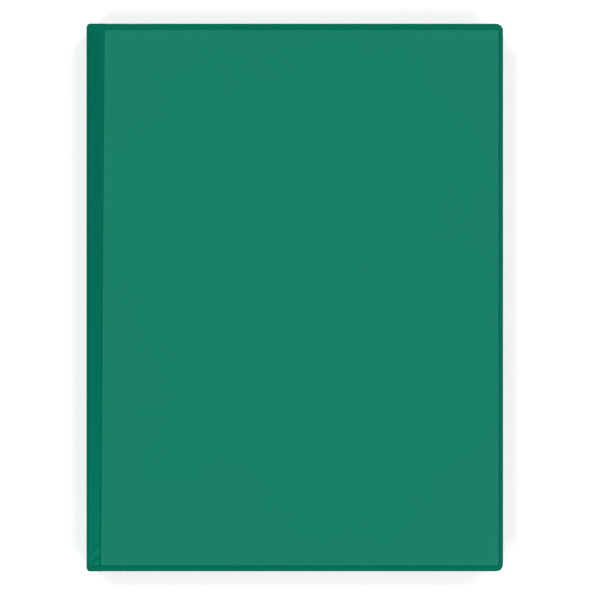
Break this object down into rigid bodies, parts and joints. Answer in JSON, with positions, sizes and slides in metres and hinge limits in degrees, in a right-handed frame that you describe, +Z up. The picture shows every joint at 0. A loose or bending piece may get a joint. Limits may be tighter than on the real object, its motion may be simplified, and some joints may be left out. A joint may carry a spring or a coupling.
{
  "type": "stamp album",
  "caption": "Case-bound stamp stock book with padded leatherette covers, hinge grooves and linen-hinged black leaves with clear strips; covers and leaves open in a fan.",
  "frame": {"origin": "middle of the closed album's footprint, on the surface it lies on", "axes": "+X from the spine to the fore-edge, +Y from the tail to the head, +Z up out of the front cover"},
  "size_m": [0.232, 0.305, 0.021],
  "materials": {
    "leatherette": "satin",
    "foam": "matte",
    "greyboard": "matte",
    "endpaper": "matte",
    "cloth": "matte",
    "linen": "matte",
    "band_cloth": "satin",
    "black_card": "matte",
    "clear_film": "gloss",
    "glassine": "satin"
  },
  "bodies": {
    "back_cover": {"back_cover_skin": "leatherette", "back_padding": "foam", "back_board": "greyboard", "back_pastedown": "endpaper", "back_joint_lining": "cloth"},
    "spine": {"spine_skin": "leatherette", "spine_board": "greyboard", "spine_lining": "cloth", "binding_block": "linen", "head_band": "band_cloth", "tail_band": "band_cloth"},
    "front_cover": {"front_cover_skin": "leatherette", "front_padding": "foam", "front_board": "greyboard", "front_pastedown": "endpaper", "front_joint_lining": "cloth"},
    "leaf_1": {"leaf_1_card": "black_card", "leaf_1_hinge": "linen", "leaf_1_strips": "clear_film"},
    "interleaf_1": {"interleaf_1": "glassine"},
    "leaf_2": {"leaf_2_card": "black_card", "leaf_2_hinge": "linen", "leaf_2_strips": "clear_film"},
    "interleaf_2": {"interleaf_2": "glassine"},
    "leaf_3": {"leaf_3_card": "black_card", "leaf_3_hinge": "linen", "leaf_3_strips": "clear_film"},
    "interleaf_3": {"interleaf_3": "glassine"},
    "leaf_4": {"leaf_4_card": "black_card", "leaf_4_hinge": "linen", "leaf_4_strips": "clear_film"},
    "interleaf_4": {"interleaf_4": "glassine"},
    "leaf_5": {"leaf_5_card": "black_card", "leaf_5_hinge": "linen", "leaf_5_strips": "clear_film"},
    "interleaf_5": {"interleaf_5": "glassine"},
    "leaf_6": {"leaf_6_card": "black_card", "leaf_6_hinge": "linen", "leaf_6_strips": "clear_film"},
    "interleaf_6": {"interleaf_6": "glassine"},
    "leaf_7": {"leaf_7_card": "black_card", "leaf_7_hinge": "linen", "leaf_7_strips": "clear_film"},
    "interleaf_7": {"interleaf_7": "glassine"},
    "leaf_8": {"leaf_8_card": "black_card", "leaf_8_hinge": "linen", "leaf_8_strips": "clear_film"}
  },
  "joints": [
    {"name": "spine_hinge", "type": "hinge", "parent": "back_cover", "child": "spine", "pos_m": [-0.112, 0, 0.004], "axis": [0, -1, 0], "range_deg": [0, 90]},
    {"name": "front_cover_hinge", "type": "hinge", "parent": "spine", "child": "front_cover", "pos_m": [-0.112, 0, 0.017], "axis": [0, -1, 0], "range_deg": [0, 90]},
    {"name": "leaf_1_turn", "type": "hinge", "parent": "spine", "child": "leaf_1", "pos_m": [-0.11135, 0, 0.01575], "axis": [0, -1, 0], "range_deg": [0, 82]},
    {"name": "interleaf_1_turn", "type": "hinge", "parent": "spine", "child": "interleaf_1", "pos_m": [-0.11135, 0, 0.015], "axis": [0, -1, 0], "range_deg": [0, 75]},
    {"name": "leaf_2_turn", "type": "hinge", "parent": "spine", "child": "leaf_2", "pos_m": [-0.11135, 0, 0.01425], "axis": [0, -1, 0], "range_deg": [0, 68]},
    {"name": "interleaf_2_turn", "type": "hinge", "parent": "spine", "child": "interleaf_2", "pos_m": [-0.11135, 0, 0.0135], "axis": [0, -1, 0], "range_deg": [0, 61]},
    {"name": "leaf_3_turn", "type": "hinge", "parent": "spine", "child": "leaf_3", "pos_m": [-0.11135, 0, 0.01275], "axis": [0, -1, 0], "range_deg": [0, 54]},
    {"name": "interleaf_3_turn", "type": "hinge", "parent": "spine", "child": "interleaf_3", "pos_m": [-0.11135, 0, 0.012], "axis": [0, -1, 0], "range_deg": [0, 47]},
    {"name": "leaf_4_turn", "type": "hinge", "parent": "spine", "child": "leaf_4", "pos_m": [-0.11135, 0, 0.01125], "axis": [0, -1, 0], "range_deg": [0, 40]},
    {"name": "interleaf_4_turn", "type": "hinge", "parent": "spine", "child": "interleaf_4", "pos_m": [-0.11135, 0, 0.0105], "axis": [0, -1, 0], "range_deg": [-33, 0]},
    {"name": "leaf_5_turn", "type": "hinge", "parent": "spine", "child": "leaf_5", "pos_m": [-0.11135, 0, 0.00975], "axis": [0, -1, 0], "range_deg": [-40, 0]},
    {"name": "interleaf_5_turn", "type": "hinge", "parent": "spine", "child": "interleaf_5", "pos_m": [-0.11135, 0, 0.009], "axis": [0, -1, 0], "range_deg": [-47, 0]},
    {"name": "leaf_6_turn", "type": "hinge", "parent": "spine", "child": "leaf_6", "pos_m": [-0.11135, 0, 0.00825], "axis": [0, -1, 0], "range_deg": [-54, 0]},
    {"name": "interleaf_6_turn", "type": "hinge", "parent": "spine", "child": "interleaf_6", "pos_m": [-0.11135, 0, 0.0075], "axis": [0, -1, 0], "range_deg": [-61, 0]},
    {"name": "leaf_7_turn", "type": "hinge", "parent": "spine", "child": "leaf_7", "pos_m": [-0.11135, 0, 0.00675], "axis": [0, -1, 0], "range_deg": [-68, 0]},
    {"name": "interleaf_7_turn", "type": "hinge", "parent": "spine", "child": "interleaf_7", "pos_m": [-0.11135, 0, 0.006], "axis": [0, -1, 0], "range_deg": [-75, 0]},
    {"name": "leaf_8_turn", "type": "hinge", "parent": "spine", "child": "leaf_8", "pos_m": [-0.11135, 0, 0.00525], "axis": [0, -1, 0], "range_deg": [-82, 0]}
  ],
  "couplings": [
    {"joint": "front_cover_hinge", "follows": "spine_hinge", "ratio": 1},
    {"joint": "leaf_1_turn", "follows": "spine_hinge", "ratio": 0.91111},
    {"joint": "interleaf_1_turn", "follows": "spine_hinge", "ratio": 0.83333},
    {"joint": "leaf_2_turn", "follows": "spine_hinge", "ratio": 0.75555},
    {"joint": "interleaf_2_turn", "follows": "spine_hinge", "ratio": 0.67778},
    {"joint": "leaf_3_turn", "follows": "spine_hinge", "ratio": 0.6},
    {"joint": "interleaf_3_turn", "follows": "spine_hinge", "ratio": 0.52222},
    {"joint": "leaf_4_turn", "follows": "spine_hinge", "ratio": 0.44444},
    {"joint": "interleaf_4_turn", "follows": "spine_hinge", "ratio": -0.36667},
    {"joint": "leaf_5_turn", "follows": "spine_hinge", "ratio": -0.44444},
    {"joint": "interleaf_5_turn", "follows": "spine_hinge", "ratio": -0.52222},
    {"joint": "leaf_6_turn", "follows": "spine_hinge", "ratio": -0.6},
    {"joint": "interleaf_6_turn", "follows": "spine_hinge", "ratio": -0.67778},
    {"joint": "leaf_7_turn", "follows": "spine_hinge", "ratio": -0.75555},
    {"joint": "interleaf_7_turn", "follows": "spine_hinge", "ratio": -0.83333},
    {"joint": "leaf_8_turn", "follows": "spine_hinge", "ratio": -0.91111}
  ]
}
